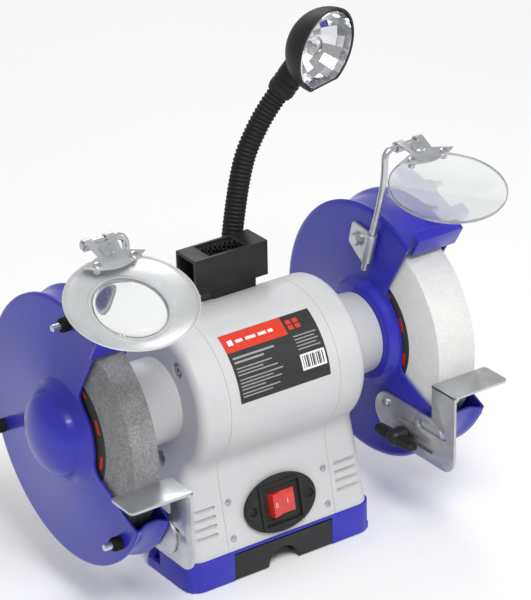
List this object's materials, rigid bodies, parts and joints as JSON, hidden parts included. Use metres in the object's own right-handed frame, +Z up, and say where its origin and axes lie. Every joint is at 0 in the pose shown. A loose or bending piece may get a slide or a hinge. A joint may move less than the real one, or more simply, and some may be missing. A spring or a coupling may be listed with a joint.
{
  "type": "bench grinder",
  "caption": "Double-wheel bench grinder with guards, eye shields, magnifier, tool rests, work light, wheel dresser and pull-out coolant tray.",
  "frame": {"origin": "on the bench plane under the middle of the motor", "axes": "+Z up, +X along the shaft from the narrow wheel to the wide wheel, the user stands at -Y"},
  "size_m": [0.438, 0.2655, 0.4667],
  "materials": {
    "blue_enamel": "gloss",
    "grey_enamel": "satin",
    "rubber": "matte",
    "black_plastic": "matte",
    "red_plastic": "gloss",
    "zinc_plate": "satin",
    "machined_steel": "satin",
    "copper_winding": "satin",
    "grey_abrasive": "matte",
    "white_abrasive": "matte",
    "clear_plastic": "gloss",
    "lamp_glass": "gloss"
  },
  "bodies": {
    "machine": {"base_casting": "blue_enamel", "foot_front_left": "rubber", "foot_front_right": "rubber", "foot_rear_left": "rubber", "foot_rear_right": "rubber", "cable_gland": "rubber", "stator_housing": "grey_enamel", "left_end_bell": "grey_enamel", "right_end_bell": "grey_enamel", "stator_core": "copper_winding", "left_bearing": "machined_steel", "right_bearing": "machined_steel", "switch_plate": "black_plastic", "left_guard": "blue_enamel", "right_guard": "blue_enamel", "left_guard_cover": "blue_enamel", "right_guard_cover": "blue_enamel", "left_cover_nut_top": "black_plastic", "left_cover_nut_front": "black_plastic", "left_cover_nut_rear": "black_plastic", "right_cover_nut_top": "black_plastic", "right_cover_nut_front": "black_plastic", "right_cover_nut_rear": "black_plastic", "left_shield_clamp": "zinc_plate", "right_shield_clamp": "zinc_plate", "left_rest_bracket": "zinc_plate", "right_rest_bracket": "zinc_plate", "dresser_saddle": "black_plastic", "lamp_socket": "black_plastic"},
    "spindle": {"shaft": "machined_steel", "rotor": "machined_steel", "left_inner_flange": "zinc_plate", "left_outer_flange": "zinc_plate", "left_spindle_nut": "zinc_plate", "grey_wheel": "grey_abrasive", "right_inner_flange": "zinc_plate", "right_outer_flange": "zinc_plate", "right_spindle_nut": "zinc_plate", "white_wheel": "white_abrasive"},
    "switch_rocker": {"rocker_button": "red_plastic"},
    "tray": {"coolant_tray": "black_plastic"},
    "left_rest": {"left_tool_rest": "zinc_plate"},
    "right_rest": {"right_tool_rest": "zinc_plate"},
    "left_knob": {"left_rest_knob": "black_plastic"},
    "right_knob": {"right_rest_knob": "black_plastic"},
    "left_deflector": {"left_spark_deflector": "blue_enamel"},
    "right_deflector": {"right_spark_deflector": "blue_enamel"},
    "left_rod": {"left_shield_rod": "zinc_plate"},
    "right_rod": {"right_shield_rod": "zinc_plate"},
    "magnifier": {"left_shield_bracket": "zinc_plate", "magnifier_frame": "zinc_plate", "magnifier_lens": "clear_plastic"},
    "eye_shield": {"right_shield_bracket": "zinc_plate", "clear_eye_shield": "clear_plastic"},
    "hose_lower": {"gooseneck_lower": "black_plastic"},
    "hose_upper": {"gooseneck_upper": "black_plastic", "lamp_shade": "black_plastic", "lamp_bulb": "lamp_glass"},
    "dresser": {"dresser_body": "black_plastic"},
    "cutters": {"star_cutters": "machined_steel"}
  },
  "joints": [
    {"name": "spindle_spin", "type": "hinge", "parent": "machine", "child": "spindle", "pos_m": [0, 0, 0.163], "axis": [1, 0, 0], "continuous": true},
    {"name": "switch_rock", "type": "hinge", "parent": "machine", "child": "switch_rocker", "pos_m": [0, -0.04782, 0.05622], "axis": [0, 0.2096, 0.9778], "range_deg": [-20, 0]},
    {"name": "tray_pull", "type": "slide", "parent": "machine", "child": "tray", "axis": [0, -1, 0], "range_m": [0, 0.09]},
    {"name": "left_rest_slide", "type": "slide", "parent": "machine", "child": "left_rest", "axis": [0, 1, 0], "range_m": [-0.008, 0.0015]},
    {"name": "right_rest_slide", "type": "slide", "parent": "machine", "child": "right_rest", "axis": [0, 1, 0], "range_m": [-0.008, 0.0015]},
    {"name": "left_knob_turn", "type": "hinge", "parent": "machine", "child": "left_knob", "pos_m": [-0.146, -0.064, 0.087], "axis": [1, 0, 0], "range_deg": [-90, 90]},
    {"name": "right_knob_turn", "type": "hinge", "parent": "machine", "child": "right_knob", "pos_m": [0.133, -0.064, 0.087], "axis": [1, 0, 0], "range_deg": [-90, 90]},
    {"name": "left_deflector_slide", "type": "slide", "parent": "machine", "child": "left_deflector", "axis": [0, -0.5225, 0.8526], "range_m": [-0.004, 0.004]},
    {"name": "right_deflector_slide", "type": "slide", "parent": "machine", "child": "right_deflector", "axis": [0, -0.5225, 0.8526], "range_m": [-0.004, 0.004]},
    {"name": "left_rod_height", "type": "slide", "parent": "machine", "child": "left_rod", "axis": [0, -0.3011, 0.9536], "range_m": [-0.003, 0.012]},
    {"name": "right_rod_height", "type": "slide", "parent": "machine", "child": "right_rod", "axis": [0, -0.3011, 0.9536], "range_m": [-0.003, 0.012]},
    {"name": "magnifier_tilt", "type": "hinge", "parent": "left_rod", "child": "magnifier", "pos_m": [-0.1655, -0.046, 0.347], "axis": [1, 0, 0], "range_deg": [-60, 30]},
    {"name": "eye_shield_tilt", "type": "hinge", "parent": "right_rod", "child": "eye_shield", "pos_m": [0.1525, -0.036, 0.347], "axis": [1, 0, 0], "range_deg": [-60, 35]},
    {"name": "hose_bend_low", "type": "hinge", "parent": "machine", "child": "hose_lower", "pos_m": [0.032, 0.0625, 0.208], "axis": [0, 1, 0], "range_deg": [-14, 14]},
    {"name": "hose_bend_high", "type": "hinge", "parent": "hose_lower", "child": "hose_upper", "pos_m": [0.0545, 0.0625, 0.3115], "axis": [0, 1, 0], "range_deg": [-9, 20]},
    {"name": "dresser_lift", "type": "slide", "parent": "machine", "child": "dresser", "axis": [0, 0, 1], "range_m": [0, 0.06]},
    {"name": "cutter_spin", "type": "hinge", "parent": "dresser", "child": "cutters", "pos_m": [0, 0.037, 0.2574], "axis": [1, 0, 0], "continuous": true}
  ]
}
